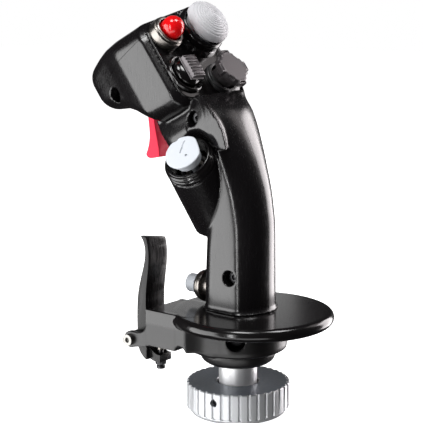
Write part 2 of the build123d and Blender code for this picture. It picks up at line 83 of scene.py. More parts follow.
def station_curves(stations, soft):
    """One smooth curve for each column after the first, against the first."""
    step = 0.25
    columns = np.array(stations, float).T
    places = np.arange(columns[0][0] - soft, columns[0][-1] + soft, step)
    width = int(soft / step)
    kernel = np.hanning(2 * width + 3)
    kernel /= kernel.sum()
    tables = []
    for values in columns[1:]:
        table = np.interp(places, columns[0], values)
        tables.append(np.convolve(np.pad(table, width + 1, "edge"), kernel, "valid"))
    return lambda at: [np.interp(at, places, table) for table in tables]


def rod_field(x, y, z, start, end, radius):
    """Round rod between two points, with flat ends."""
    start = np.array(start, float)
    path = np.array(end, float) - start
    length = np.linalg.norm(path)
    path = path / length
    along = (x - start[0]) * path[0] + (y - start[1]) * path[1] + (z - start[2]) * path[2]
    square = (x - start[0]) ** 2 + (y - start[1]) ** 2 + (z - start[2]) ** 2 - along**2
    return np.maximum(np.sqrt(np.maximum(square, 0.0)) - radius, np.maximum(-along, along - length))


def box_field(x, y, z, low, high):
    gaps = [np.maximum(l - c, c - h) for c, l, h in zip((x, y, z), low, high)]
    return np.maximum(np.maximum(gaps[0], gaps[1]), gaps[2])


# ---------------------------------------------------------------- from a field to a mesh


def sampled(field, axes, block):
    """Field on the grid. Away from the surface only its sign is right."""
    middles = [axis[block // 2 :: block] for axis in axes]
    coarse = field(*np.meshgrid(*middles, indexing="ij"))
    for axis in range(3):
        coarse = np.repeat(coarse, block, axis=axis)
    reach = 1.4 * block * (axes[0][1] - axes[0][0])
    near = np.nonzero(np.abs(coarse) < reach)
    coarse[near] = field(axes[0][near[0]], axes[1][near[1]], axes[2][near[2]])
    return coarse


def net_points(values, axes):
    """Cells that the surface crosses, and the middle of the crossings in each."""
    inside = values < 0
    corners = [(a, b, c) for a in (0, 1) for b in (0, 1) for c in (0, 1)]
    size = [n - 1 for n in values.shape]
    count = np.zeros(size, np.int8)
    for a, b, c in corners:
        count += inside[a : a + size[0], b : b + size[1], c : c + size[2]]
    cells = np.nonzero((count > 0) & (count < 8))
    total = np.zeros((3, len(cells[0])))
    crossings = np.zeros(len(cells[0]))
    for first in range(8):
        for axis in range(3):
            if corners[first][axis]:
                continue
            start = corners[first]
            end = tuple(v + (i == axis) for i, v in enumerate(start))
            low = values[tuple(cells[i] + start[i] for i in range(3))]
            high = values[tuple(cells[i] + end[i] for i in range(3))]
            crossed = (low < 0) != (high < 0)
            share = np.where(crossed, low / np.where(crossed, low - high, 1.0), 0.0)
            for i in range(3):
                at = axes[i][cells[i] + start[i]]
                step = (axes[i][1] - axes[i][0]) * share if i == axis else 0.0
                total[i] += np.where(crossed, at + step, 0.0)
            crossings += crossed
    return cells, total / crossings


def net_faces(values, cells):
    index = -np.ones([n - 1 for n in values.shape], np.int64)
    index[cells] = np.arange(len(cells[0]))
    inside = values < 0
    faces = []
    for axis in range(3):
        one, two = [i for i in range(3) if i != axis]
        before = np.take(inside, range(values.shape[axis] - 1), axis)
        after = np.take(inside, range(1, values.shape[axis]), axis)
        places = np.array(np.nonzero(before != after))
        kept = (places[one] > 0) & (places[two] > 0)
        kept &= (places[one] < index.shape[one]) & (places[two] < index.shape[two])
        places = places[:, kept]
        ring = []
        for back_one, back_two in ((1, 1), (0, 1), (0, 0), (1, 0)):
            at = places.copy()
            at[one] -= back_one
            at[two] -= back_two
            ring.append(index[tuple(at)])
        ring = np.array(ring).T
        outward = before[tuple(places)] != (axis == 1)
        ring[~outward] = ring[~outward][:, ::-1]
        faces.append(ring)
    return np.concatenate(faces)


def settled(field, points, rounds=2):
    """Moves points onto the surface along the field's slope."""
    step = 0.05
    for _ in range(rounds):
        value = field(*points)
        slope = []
        for axis in range(3):
            moved = points.copy()
            moved[axis] += step
            slope.append((field(*moved) - value) / step)
        slope = np.array(slope)
        square = np.maximum((slope**2).sum(0), 0.2)
        points = points - np.clip(value, -CELL, CELL) * slope / square
    return points


def field_mesh(name, field, low, high, cell=CELL):
    """Mesh object of the surface where the field is 0."""
    block = 4
    axes = []
    for a, b in zip(low, high):
        count = int((b - a) / cell / block + 1) * block
        axes.append(a + cell * np.arange(count))
    values = sampled(field, axes, block)
    cells, points = net_points(values, axes)
    faces = net_faces(values, cells)
    points = settled(field, points)
    return mesh_object(name, points.T, faces)


def mesh_object(name, points, faces):
    """Mesh object from points in millimetres."""
    mesh = bpy.data.meshes.new(name)
    mesh.from_pydata((np.asarray(points, float) * MM).tolist(), [], [list(map(int, f)) for f in faces])
    mesh.validate()
    made = bpy.data.objects.new(name, mesh)
    bpy.context.scene.collection.objects.link(made)
    return made


def smoothed(piece, sharp_over=35.0):
    mesh = piece.data
    mesh.polygons.foreach_set("use_smooth", [True] * len(mesh.polygons))
    mesh.set_sharp_from_angle(angle=radians(sharp_over))
    return piece


def applied(piece, kind, **settings):
    """Adds a modifier and bakes it into the piece's mesh."""
    modifier = piece.modifiers.new(kind.lower(), kind)
    for setting, value in settings.items():
        setattr(modifier, setting, value)
    bpy.context.view_layer.update()
    baked = bpy.data.meshes.new_from_object(piece.evaluated_get(bpy.context.evaluated_depsgraph_get()))
    piece.modifiers.clear()
    plain = piece.data
    piece.data = baked
    bpy.data.meshes.remove(plain)
    return piece


def place_at(origin, axis, across=(1, 0, 0)):
    """Frame in millimetres with its Z along the axis and its X as near to across as it can be."""
    up = Vector(axis).normalized()
    side = Vector(across)
    side = (side - up * side.dot(up)).normalized()
    turn = Matrix((side, up.cross(side), up)).transposed().to_4x4()
    return Matrix.Translation(Vector(origin)) @ turn


def plate_place(across, up):
    """Frame on the face plate's outer surface, with Y up the plate and Z out of the grip."""
    y = UP_Y * up + NORMAL_Y * PLATE_OFFSET
    z = UP_Z * up + NORMAL_Z * PLATE_OFFSET
    return place_at((across, y, z), (0, NORMAL_Y, NORMAL_Z))


def rounded(points, closed, steps=4):
    """Outline whose corners are eased; each point is (across, along, reach of the easing)."""
    eased = []
    for index, (x, y, reach) in enumerate(points):
        end = not closed and index in (0, len(points) - 1)
        if end or reach == 0:
            eased.append((x, y))
            continue
        corner = np.array((x, y))
        back = np.array(points[index - 1][:2]) - corner
        on = np.array(points[(index + 1) % len(points)][:2]) - corner
        start = corner + back * min(reach / np.linalg.norm(back), 0.48)
        stop = corner + on * min(reach / np.linalg.norm(on), 0.48)
        for t in np.linspace(0, 1, steps + 1):
            eased.append(tuple(start * (1 - t) ** 2 + corner * 2 * t * (1 - t) + stop * t**2))
    return eased


def turned(name, place, outline, closed=True, sides=128, groove=None, sharp_over=32.0):
    """Solid of revolution; groove(angle, radius, height) takes a little off the radius."""
    angles = np.arange(sides) * 2 * pi / sides
    points = []
    for radius, height in outline:
        away = np.full(sides, float(radius))
        if groove:
            away = away - groove(angles, away, height)
        level = np.full(sides, float(height))
        points.append(np.stack([away * np.cos(angles), away * np.sin(angles), level], 1))
    rows = len(outline)
    faces = []
    for row in range(rows if closed else rows - 1):
        this, above = row * sides, (row + 1) % rows * sides
        for side in range(sides):
            following = (side + 1) % sides
            faces.append((this + side, this + following, above + following, above + side))
    spots = np.concatenate(points) @ np.array(place.to_3x3()).T + np.array(place.translation)
    piece = mesh_object(name, spots, faces)
    cleaned(piece)
    return smoothed(piece, sharp_over)


def cleaned(piece):
    """Joins points that meet and turns every face outwards."""
    work = bmesh.new()
    work.from_mesh(piece.data)
    bmesh.ops.remove_doubles(work, verts=work.verts[:], dist=2e-6)
    bmesh.ops.recalc_face_normals(work, faces=work.faces[:])
    work.to_mesh(piece.data)
    work.free()


def slab(name, place, outline, low, high, edge):
    """Flat piece of this outline between two heights, with eased edges."""
    count = len(outline)
    spots = [(x, y, low, 1) for x, y in outline] + [(x, y, high, 1) for x, y in outline]
    spots = [(place @ Vector(spot[:3]))[:] for spot in spots]
    faces = [tuple(range(count))[::-1], tuple(range(count, 2 * count))]
    faces += [(i, (i + 1) % count, (i + 1) % count + count, i + count) for i in range(count)]
    piece = mesh_object(name, spots, faces)
    cleaned(piece)
    return eased_edges(piece, edge)


def eased_edges(piece, width, segments=3, over=40.0):
    applied(
        piece,
        "BEVEL",
        width=width * MM,
        segments=segments,
        limit_method="ANGLE",
        angle_limit=radians(over),
        harden_normals=False,
        use_clamp_overlap=True,
    )
    return smoothed(piece, 30.0)


def refined(node, width, segments=3):
    """The CAD node's own shape with its edges eased, as a new piece."""
    piece = frame["nodes"][node].copy()
    piece.data = piece.data.copy()
    piece.parent = None
    for key in list(piece.keys()):
        del piece[key]
    piece.name = piece.data.name = node + "_eased"
    bpy.context.scene.collection.objects.link(piece)
    work = bmesh.new()
    work.from_mesh(piece.data)
    bmesh.ops.remove_doubles(work, verts=work.verts[:], dist=1e-6)
    bmesh.ops.dissolve_limit(work, angle_limit=radians(0.6), verts=work.verts[:], edges=work.edges[:])
    work.to_mesh(piece.data)
    work.free()
    return eased_edges(piece, width, segments)


def cut_by(piece, cutter):
    applied(piece, "BOOLEAN", object=cutter, operation="DIFFERENCE", solver="EXACT")
    bpy.data.objects.remove(cutter)
    return piece


def round_cutter(start, end, radius, sides=48):
    path = Vector(end) - Vector(start)
    outline = [(0, 0), (radius, 0), (radius, path.length), (0, path.length)]
    across = (1, 0, 0) if abs(path.normalized().x) < 0.9 else (0, 1, 0)
    return turned("cutter", place_at(start, path, across), outline, False, sides)


def halved(source, name, cuts):
    """Copy of a closed piece kept on the outer side of each (point, normal) plane, and closed there."""
    piece = source.copy()
    piece.data = source.data.copy()
    piece.name = piece.data.name = name
    bpy.context.scene.collection.objects.link(piece)
    work = bmesh.new()
    work.from_mesh(piece.data)
    for point, normal in cuts:
        whole = work.verts[:] + work.edges[:] + work.faces[:]
        cut = bmesh.ops.bisect_plane(
            work, geom=whole, plane_co=Vector(point) * MM, plane_no=normal, clear_inner=True, dist=1e-7
        )
        rim = [e for e in cut["geom_cut"] if isinstance(e, bmesh.types.BMEdge)]
        bmesh.ops.triangle_fill(work, edges=rim, use_beauty=True, use_dissolve=False)
    bmesh.ops.recalc_face_normals(work, faces=work.faces[:])
    work.to_mesh(piece.data)
    work.free()
    return piece


# ---------------------------------------------------------------- the grip's shape

# Stations up the column: height, rear, rear corner, front, half width
column_at = station_curves(
    [
        (FOOT, -19.6, -11.2, 15.3, 16.0),
        (80.0, -19.6, -10.4, 15.8, 16.0),
        (100.0, -19.7, -9.0, 18.3, 16.0),
        (118.0, -16.8, -6.2, 25.6, 16.6),
        (135.0, -10.8, -2.6, 35.6, 18.2),
        (150.0, -3.4, 3.0, 46.0, 20.6),
        (162.0, 4.4, 9.6, 49.0, 21.6),
        (170.0, 9.5, 14.5, 50.0, 22.4),
    ],
    10.0,
)
# Stations of the head under its plate: depth, left, right, low edge, high edge at the left and right
head_at = station_curves(
    [
        (-62.0, -11.5, 13.0, 171.5, 192.0, 193.0),
        (-55.0, -15.6, 17.0, 169.0, 193.5, 194.0),
        (-48.0, -17.8, 19.4, 166.0, 194.4, 194.8),
        (-41.0, -19.4, 21.0, 161.5, 194.8, 196.0),
        (-34.0, -21.2, 23.0, 154.5, 194.4, 197.6),
        (-28.5, -23.6, 26.0, 147.5, 192.5, 199.0),
        (-23.0, -25.4, 28.2, 141.5, 191.0, 199.8),
        (-10.0, -25.8, 30.2, 138.6, 188.0, 200.2),
        (0.0, -25.8, 31.0, 137.5, 186.0, 200.0),
    ],
    3.0,
)
NOSE_DEPTH = 58.6
SHOULDER = (15.0, 163.6, radians(14.0))
POD_AXIS = np.array((-0.76, -0.10, 0.64)) / sqrt(0.76**2 + 0.10**2 + 0.64**2)
BOSS_AXIS = np.array((-0.574, 0.0, 0.819))
POD_MOUTH = np.array((-22.9, 11.6, 131.7))
POD_R = 13.4
SCREW_WAYS = [(-6.5, 73.9, -9.5), (14.1, 153.4, -13.0), (66.5, 162.7, -11.0)]
SCREW_WAY_R = 3.9
PLATE = (-22.4, 28.0, 141.0, 184.5, 197.5, 7.5)
PLATE_MIDDLE = 168.0
GRIP_BOX = ((-40, -24, 54), (36, 94, 212))


def quad_field(x, v, left, right, low, high_left, high_right, corner):
    """Four-sided outline with round corners; its high edge climbs to the right."""
    slope = (high_right - high_left) / (right - left)
    top = (v - high_left - slope * (x - left)) / np.hypot(1.0, slope)
    return round_max(np.maximum(left - x, x - right), np.maximum(low - v, top), corner)


def hollow_side(x, y, z):
    """Left side of the column and ledge, sinking as it nears the head's lower edge."""
    near_head = np.clip((y * UP_Y + z * UP_Z - 122.0) / 15.0, 0.0, 1.4)
    return SIDE_X + 4.6 * near_head**1.4 - x


def column_field(x, y, z):
    rear, corner, front, half = column_at(z)
    bulge = corner - rear
    arc = (half**2 + bulge**2) / (2 * bulge)
    flare = 1.3 * np.clip((FOOT + 2.6 - z) / 2.6, 0.0, 1.0) ** 2
    sides = np.abs(x) - half
    back = np.hypot(x, y - rear - arc) - arc
    front_arc = 40.0
    nose = np.hypot(x, y - front + front_arc) - front_arc
    body = smooth_max(sides, back, 2.6 + 0.9 * np.tanh(x / 4.0))
    body = smooth_max(body, nose, 8.0) - flare
    rise_y, rise_z, rise = SHOULDER
    shoulder = (z - rise_z) * cos(rise) - (y - rise_y) * sin(rise)
    body = smooth_max(smooth_max(body, shoulder, 6.0), hollow_side(x, y, z), 1.0)
    return np.maximum(body, FOOT - z)


def head_field(x, y, z):
    v = y * UP_Y + z * UP_Z
    h = y * NORMAL_Y + z * NORMAL_Z - PLATE_OFFSET
    left, right, low, high_left, high_right = head_at(h)
    body = quad_field(x, v, left, right, low, high_left, high_right, 9.0)
    chamfer = (quad_field(x, v, *PLATE) + h) / sqrt(2)
    body = smooth_max(smooth_max(body, chamfer, 0.8), h, 0.8)
    return round_max(body, -NOSE_DEPTH - h, 9.0)


def pod_distances(x, y, z, axis):
    off = [c - m for c, m in zip((x, y, z), POD_MOUTH)]
    along = sum(o * a for o, a in zip(off, axis))
    square = sum(o**2 for o in off) - along**2
    return along, np.sqrt(np.maximum(square, 0.0))


def boss_field(x, y, z):
    along, away = pod_distances(x, y, z, BOSS_AXIS)
    over_mouth = pod_distances(x, y, z, POD_AXIS)[0]
    return round_max(np.maximum(away - POD_R, -38.0 - along), over_mouth, 0.7)


# Rear edge of the thumb ledge, each point (height, y), and the height of its level foot
LEDGE_EDGE = (
    (139.6, -9.8),
    (144.4, -8.7),
    (149.3, -6.9),
    (153.1, -4.4),
    (157.3, -0.6),
    (161.5, 3.4),
    (166.0, 8.0),
)
LEDGE_FOOT, LEDGE_TOP = 139.6, 165.0
SIDE_X = -21.3


def ledge_field(x, y, z):
    """Thumb ledge over the pod: a wing off the left side with a curved rear edge and a level foot."""
    heights, edges = zip(*LEDGE_EDGE)
    edge = (np.interp(z, heights, edges) + 0.75 * (x - SIDE_X) - y) / 1.25
    wing = smooth_max(hollow_side(x, y, z), edge, 1.2)
    wing = smooth_max(wing, LEDGE_FOOT - z, 0.8)
    wing = np.maximum(np.maximum(wing, x + 3.0), np.maximum(z - LEDGE_TOP, y - 16.0))
    dent = np.sqrt((x + 26.5) ** 2 + (y - 4.0) ** 2 + (z - 140.0) ** 2) - 8.2
    return smooth_max(wing, -dent, 2.5)


def outer_field(x, y, z):
    grip = smooth_min(column_field(x, y, z), head_field(x, y, z), 7.0 + 5.0 * np.tanh(x / 8.0))
    grip = smooth_min(grip, ledge_field(x, y, z), 2.0)
    grip = smooth_min(grip, boss_field(x, y, z), 0.8)
    along, away = pod_distances(x, y, z, POD_AXIS)
    well = np.maximum(away - POD_R - 0.9, -along)
    return smooth_max(grip, -well, 1.0)


def grip_field(x, y, z):
    """Shell of the grip with its screw posts and openings."""
    outer = outer_field(x, y, z)
    shell = np.maximum(outer, -outer - WALL)
    v = y * UP_Y + z * UP_Z
    h = y * NORMAL_Y + z * NORMAL_Z - PLATE_OFFSET
    for screw_y, screw_z, head_x in SCREW_WAYS:
        away = np.hypot(y - screw_y, z - screw_z)
        post = np.maximum(np.maximum(away - SCREW_WAY_R - 1.2, np.abs(x) - 24.0), outer)
        shell = np.minimum(shell, post)
        way = np.maximum(away - SCREW_WAY_R, x - head_x)
        shell = smooth_max(shell, -way, 0.7)
        shell = np.maximum(shell, -np.maximum(away - 1.5, x - 8.0))
    cuts = np.maximum(quad_field(x, v, *PLATE) - 0.25, np.abs(h) - 7.0)
    cuts = np.minimum(cuts, box_field(x, y, z, (-6.6, 40.0, 144.0), (6.6, 60.5, 160.5)))
    cuts = np.minimum(cuts, rod_field(x, y, z, (-4, 8, 65), (-4, 22, 65), 6.1))
    cuts = np.minimum(cuts, box_field(x, y, z, (-13.4, -8, 50), (13.4, 11.5, 58.6)))
    along, away = pod_distances(x, y, z, POD_AXIS)
    cuts = np.minimum(cuts, np.maximum(away - 8.6, np.abs(along) - 8.0))
    return smooth_max(shell, -cuts, 0.4)


def tongue_field(x, y, z):
    """Lip inside the joints between the shells, which closes the seams to the light."""
    seam = np.minimum(np.abs(x), np.abs(y * UP_Y + z * UP_Z - COVER_SEAM)) - 1.5
    return np.maximum(grip_field(x, y, z) + 0.3, np.maximum(outer_field(x, y, z) + 1.0, seam))


def grip_shells():
    grip = field_mesh("grip_whole", grip_field, *GRIP_BOX)
    seam = Vector((0.0, COVER_SEAM * UP_Y, COVER_SEAM * UP_Z))
    up = Vector((0.0, UP_Y, UP_Z))
    below = (seam - up * SEAM_GAP, -up)
    above = (seam + up * SEAM_GAP, up)
    shells = [
        (halved(grip, "left_shell_skin", [((-SEAM_GAP, 0, 0), (-1, 0, 0)), below]), "left_shell"),
        (halved(grip, "right_shell_skin", [((SEAM_GAP, 0, 0), (1, 0, 0)), below]), "right_shell"),
        (halved(grip, "top_cover_skin", [above]), "top_cover"),
    ]
    bpy.data.objects.remove(grip)
    for shell, node in shells:
        finished(smoothed(shell), node)
    tongue = field_mesh("shell_tongue", tongue_field, *GRIP_BOX)
    finished(smoothed(tongue), "right_shell")


# ---------------------------------------------------------------- materials


def math_node(nodes, links, operation, first, second):
    made = nodes.new("ShaderNodeMath")
    made.operation = operation
    made.use_clamp = True
    for socket, value in zip(made.inputs, (first, second)):
        if isinstance(value, float):
            socket.default_value = value
        else:
            links.new(value, socket)
    return made.outputs[0]


def ranged(nodes, links, value, low, high, to_low, to_high):
    made = nodes.new("ShaderNodeMapRange")
    sockets = {"From Min": low, "From Max": high, "To Min": to_low, "To Max": to_high}
    for socket, number in sockets.items():
        made.inputs[socket].default_value = number
    links.new(value, made.inputs["Value"])
    return made.outputs["Result"]


def noise(nodes, links, scale, stretch=(1, 1, 1), detail=3.0):
    place = nodes.new("ShaderNodeTexCoord")
    mapping = nodes.new("ShaderNodeMapping")
    mapping.inputs["Scale"].default_value = stretch
    made = nodes.new("ShaderNodeTexNoise")
    made.inputs["Scale"].default_value = scale
    made.inputs["Detail"].default_value = detail
    links.new(place.outputs["Object"], mapping.inputs["Vector"])
    links.new(mapping.outputs["Vector"], made.inputs["Vector"])
    return made.outputs["Fac"]


def edge_mask(nodes, links, reach):
    """1 along convex edges and 0 on open surfaces."""
    eased = nodes.new("ShaderNodeBevel")
    eased.samples = 4
    eased.inputs["Radius"].default_value = reach
    true = nodes.new("ShaderNodeNewGeometry")
    match = nodes.new("ShaderNodeVectorMath")
    match.operation = "DOT_PRODUCT"
    links.new(eased.outputs["Normal"], match.inputs[0])
    links.new(true.outputs["Normal"], match.inputs[1])
    return ranged(nodes, links, match.outputs["Value"], 0.93, 0.7, 0.0, 1.0)


def surface(
    name,
    colour,
    rough,
    metal=0.0,
    vary=0.2,
    rough_vary=0.05,
    grain=900.0,
    stretch=(1, 1, 1),
    height=1.5e-6,
    patch=60.0,
    worn=None,
    wear=0.25,
    wear_reach=2.5e-4,
    painted_top_shade=None,
    satin=None,
    **sockets,
):
    """Painted, moulded or machined surface whose tone, gloss and height vary in its grain.

    worn is the colour of its rubbed edges, the painted top shade is a darker colour painted on faces
    that look up in place of the shade they get, and satin gives the height below which the surface is
    duller and by how much.
    """
    made = bpy.data.materials.new(name)
    made.use_nodes = True
    nodes, links = made.node_tree.nodes, made.node_tree.links
    shader = nodes["Principled BSDF"]
    shader.inputs["Metallic"].default_value = metal
    for socket, value in sockets.items():
        shader.inputs[socket.replace("_", " ")].default_value = value
    fine = noise(nodes, links, grain, stretch, 4.0)
    broad = noise(nodes, links, patch)
    tone = nodes.new("ShaderNodeMix")
    tone.data_type = "RGBA"
    tone.inputs[6].default_value = (*[c * (1 - vary) for c in colour], 1)
    tone.inputs[7].default_value = (*[min(c * (1 + vary), 1) for c in colour], 1)
    both = math_node(nodes, links, "ADD", fine, broad)
    links.new(math_node(nodes, links, "MULTIPLY", both, 0.5), tone.inputs[0])
    shade = tone.outputs[2]
    roughness = ranged(nodes, links, fine, 0.3, 0.7, max(rough - rough_vary, 0.02), rough + rough_vary)
    if satin:
        place = nodes.new("ShaderNodeSeparateXYZ")
        links.new(nodes.new("ShaderNodeTexCoord").outputs["Object"], place.inputs[0])
        below, rougher = satin
        dull = ranged(nodes, links, place.outputs["Z"], below - 0.001, below + 0.001, rougher, 0.0)
        roughness = math_node(nodes, links, "ADD", roughness, dull)
    # Painted shade: the colour of faces that look up is mixed towards a darker given colour, standing in
    # for how the light falls on them.
    if painted_top_shade:
        facing = nodes.new("ShaderNodeSeparateXYZ")
        links.new(nodes.new("ShaderNodeNewGeometry").outputs["Normal"], facing.inputs[0])
        top_shade_mix = nodes.new("ShaderNodeMix")
        top_shade_mix.data_type = "RGBA"
        top_shade_mix.inputs[7].default_value = (*painted_top_shade, 1)
        links.new(ranged(nodes, links, facing.outputs["Z"], 0.7, 0.9, 0.0, 1.0), top_shade_mix.inputs[0])
        links.new(shade, top_shade_mix.inputs[6])
        shade = top_shade_mix.outputs[2]
    if worn:
        scuffs = ranged(nodes, links, noise(nodes, links, 700.0), 0.42, 0.62, 0.0, wear)
        mask = math_node(nodes, links, "MULTIPLY", edge_mask(nodes, links, wear_reach), scuffs)
        rubbed = nodes.new("ShaderNodeMix")
        rubbed.data_type = "RGBA"
        rubbed.inputs[7].default_value = (*worn, 1)
        links.new(mask, rubbed.inputs[0])
        links.new(shade, rubbed.inputs[6])
        shade = rubbed.outputs[2]
    links.new(shade, shader.inputs["Base Color"])
    links.new(roughness, shader.inputs["Roughness"])
    bump = nodes.new("ShaderNodeBump")
    bump.inputs["Strength"].default_value = 1.0
    bump.inputs["Distance"].default_value = height
    links.new(fine, bump.inputs["Height"])
    links.new(bump.outputs["Normal"], shader.inputs["Normal"])
    return made


SHELL_BLACK = surface(
    "shell black", (0.0035, 0.003, 0.0034), 0.24, grain=1500.0, stretch=(1, 1, 0.1), height=5e-7
)
BASE_BLACK = surface(
    "base black", (0.0045, 0.004, 0.0042), 0.17, grain=1500.0, height=4e-7, satin=(0.0485, 0.2),
    Specular_IOR_Level=0.42,
)
BRACKET_BLACK = surface(
    "bracket black", (0.005, 0.0045, 0.0048), 0.27, rough_vary=0.09, grain=1300.0,
    stretch=(1, 1, 0.06), height=8e-7, Specular_IOR_Level=0.21,
)
GLOSS_BLACK = surface("gloss black", (0.0035, 0.003, 0.0032), 0.16, grain=1500.0, height=3e-7)
BLACK_PLASTIC = surface(
    "black plastic", (0.02, 0.02, 0.021), 0.42, grain=1800.0, height=4e-6, worn=(0.06, 0.06, 0.06)
)
BLACK_STEEL = surface(
    "black steel", (0.03, 0.03, 0.032), 0.32, metal=0.6, grain=1500.0, worn=(0.3, 0.3, 0.3)
)
DARK_STEEL = surface(
    "brushed dark steel", (0.21, 0.195, 0.18), 0.3, metal=1.0, vary=0.3, grain=500.0,
    stretch=(1, 1, 6), height=2.5e-6, worn=(0.55, 0.53, 0.5),
)
GUNMETAL = surface(
    "gunmetal", (0.09, 0.082, 0.086), 0.36, metal=0.55, grain=1600.0, height=5e-6,
    worn=(0.4, 0.38, 0.38), wear=0.8,
)
SCREW_STEEL = surface(
    "zinc plated steel", (0.2, 0.195, 0.185), 0.3, metal=1.0, grain=1400.0, worn=(0.8, 0.8, 0.78)
)
NECK_STEEL = surface(
    "blasted steel", (0.7, 0.7, 0.71), 0.42, metal=0.6, vary=0.32, grain=1500.0, height=4e-5,
    patch=400.0, worn=(0.85, 0.85, 0.85),
)
# The nut's top faces carry a painted shade: a darker bluish colour standing in for the dim light they
# catch.
NUT_ALUMINIUM = surface(
    "anodised aluminium", (0.5, 0.51, 0.525), 0.42, metal=0.45, vary=0.1, grain=900.0, height=3e-6,
    worn=(0.93, 0.93, 0.93), wear=0.7, painted_top_shade=(0.15, 0.17, 0.2),
)
RED_GLOSS = surface(
    "red gloss", (0.62, 0.004, 0.006), 0.16, vary=0.08, grain=800.0, height=1e-6,
    worn=(0.8, 0.08, 0.07), wear=0.3, Subsurface_Weight=0.05,
)
RED_SATIN = surface(
    "red satin", (0.72, 0.012, 0.05), 0.42, vary=0.08, grain=1200.0, height=3e-6,
    worn=(0.85, 0.2, 0.2), wear=0.3, Specular_IOR_Level=0.16,
)
GREY_CAP = surface(
    "grey moulding", (0.5, 0.5, 0.52), 0.55, vary=0.05, grain=1600.0, height=6e-6,
    worn=(0.66, 0.66, 0.68),
)
WHITE_CAP = surface(
    "white moulding", (0.5, 0.525, 0.56), 0.5, vary=0.04, grain=1500.0, height=3e-6,
    worn=(0.7, 0.71, 0.72), Specular_IOR_Level=0.3,
)
BRASS_PIN = surface(
    "brass", (0.75, 0.55, 0.24), 0.25, metal=1.0, grain=1200.0, worn=(0.9, 0.75, 0.4)
)
BOARD_GREEN = surface(
    "board green", (0.02, 0.12, 0.05), 0.4, grain=500.0, height=5e-6, worn=(0.2, 0.25, 0.15)
)
LOOM_GREY = surface(
    "loom grey", (0.08, 0.08, 0.085), 0.6, grain=700.0, height=2e-5, worn=(0.15, 0.15, 0.15)
)
BY_SLOT = {
    "shell_black": SHELL_BLACK,
    "base_black": BASE_BLACK,
    "bracket_black": BRACKET_BLACK,
    "gloss_black": GLOSS_BLACK,
    "black_plastic": BLACK_PLASTIC,
    "black_steel": BLACK_STEEL,
    "dark_steel": DARK_STEEL,
    "gunmetal": GUNMETAL,
    "screw_steel": SCREW_STEEL,
    "neck_steel": NECK_STEEL,
    "nut_aluminium": NUT_ALUMINIUM,
    "red_gloss": RED_GLOSS,
    "red_satin": RED_SATIN,
    "grey_cap": GREY_CAP,
    "white_cap": WHITE_CAP,
    "brass_pin": BRASS_PIN,
    "board_green": BOARD_GREEN,
    "loom_grey": LOOM_GREY,
}
SLOTS = {part["node"]: part["material_slot"] for part in frame["record"]["subparts"]}


def finished(piece, *nodes):
    """Gives a new piece the finish and body of the node it stands for."""
    piece.data.materials.clear()
    piece.data.materials.append(BY_SLOT[SLOTS[nodes[0]]])
    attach(piece, BODIES[nodes[0]])
    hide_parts(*nodes)
    return piece


def carried_over():
    """CAD nodes that stay as they are get their finish."""
    for node, part in frame["nodes"].items():
        for slot in part.material_slots:
            slot.material = BY_SLOT[SLOTS[node]]


# ---------------------------------------------------------------- coupling

NUT_R, NUT_TOP, LIP_R, FLUTED_FROM = 27.0, 16.0, 24.4, 2.8
FLUTES = 36
THREAD_R, THREAD_TOP, THREAD_PITCH, THREAD_DEPTH = 17.0, 8.0, 1.5, 0.7


def flutes(angle, radius, height):
    """Depth of the narrow round-bottomed grooves down the nut's side, and of the thread inside it."""
    pitch = 2 * pi / FLUTES
    off = np.abs((angle / pitch + 0.5) % 1.0 - 0.5) * pitch * NUT_R
    groove = 0.95 * np.sqrt(np.clip(1 - (off / 0.85) ** 2, 0, 1))
    outside = (radius > LIP_R + 1.0) * (height > FLUTED_FROM - 0.1)
    turns = (height / THREAD_PITCH + angle / (2 * pi)) % 1.0
    ridge = np.abs(turns - 0.5) * 2 * THREAD_DEPTH
    inside = (np.abs(radius - THREAD_R) < 0.01) * (height > 0.7) * (height < THREAD_TOP - 0.4)
    return np.where(outside, groove, np.where(inside, -ridge, 0.0))


def coupling_nut():
    thread = [(THREAD_R, z, 0) for z in np.arange(THREAD_TOP, 0.5, -THREAD_PITCH / 4)]
    outline = [(THREAD_R + 0.8, 0, 0), (LIP_R, 0, 0.5), (25.7, 1.6, 0.5), (25.7, FLUTED_FROM, 0)]
    outline += [(26.7, FLUTED_FROM, 0), (NUT_R, FLUTED_FROM + 0.3, 0), (NUT_R, NUT_TOP - 0.5, 0)]
    outline += [(NUT_R - 0.5, NUT_TOP, 0), (11.5, NUT_TOP, 0.2), (10.95, 15.4, 0.2), (10.95, 12, 0)]
    outline += [(17.8, 12, 0), (17.8, THREAD_TOP, 0)]
    nut = turned("coupling_nut_fluted", place_at((0, 0, 0), (0, 0, 1)), rounded(outline + thread, True),
                 sides=FLUTES * 20, groove=flutes)
    direction = np.array((-26.4, -4.9)) / hypot(26.4, 4.9)
    start = (*(direction * 15.0), 11.0)
    cut_by(nut, round_cutter(start, (*(direction * 30.0), 11.0), 2.0))
    finished(smoothed(nut, 28.0), "coupling_nut")


def lower_collar():
    outline = [
        (10.0, 26.6, 0.2), (16.2, 26.6, 0.8), (18.8, 28.4, 1.0), (19.9, 31.6, 1.4), (19.9, 34.0, 0),
    ]
    outline += [(10.0, 34.0, 0)]
    ring = turned("lower_collar_turned", place_at((0, 0, 0), (0, 0, 1)), rounded(outline, True))
    finished(ring, "lower_collar")


# ---------------------------------------------------------------- base

REST_TOP, REST_R, REST_THICK, REST_Y = 55.5, 41.8, 6.6, -9.6
CUP_BOTTOM, CUP_R, NECK_R = 34.0, 25.7, 10.0
PIVOT_Y, PIVOT_Z = 45.0, 37.5
CLAMP = (-0.814, -0.581, 43.4)


def plan_field(x, y, corners, ease):
    """Signed distance to a convex outline given clockwise seen from above."""
    inside = None
    for index, (ax, ay) in enumerate(corners):
        bx, by = corners[(index + 1) % len(corners)]
        length = hypot(bx - ax, by - ay)
        side = ((by - ay) * (x - ax) - (bx - ax) * (y - ay)) / length * -1.0
        inside = side if inside is None else smooth_max(inside, side, ease)
    return inside


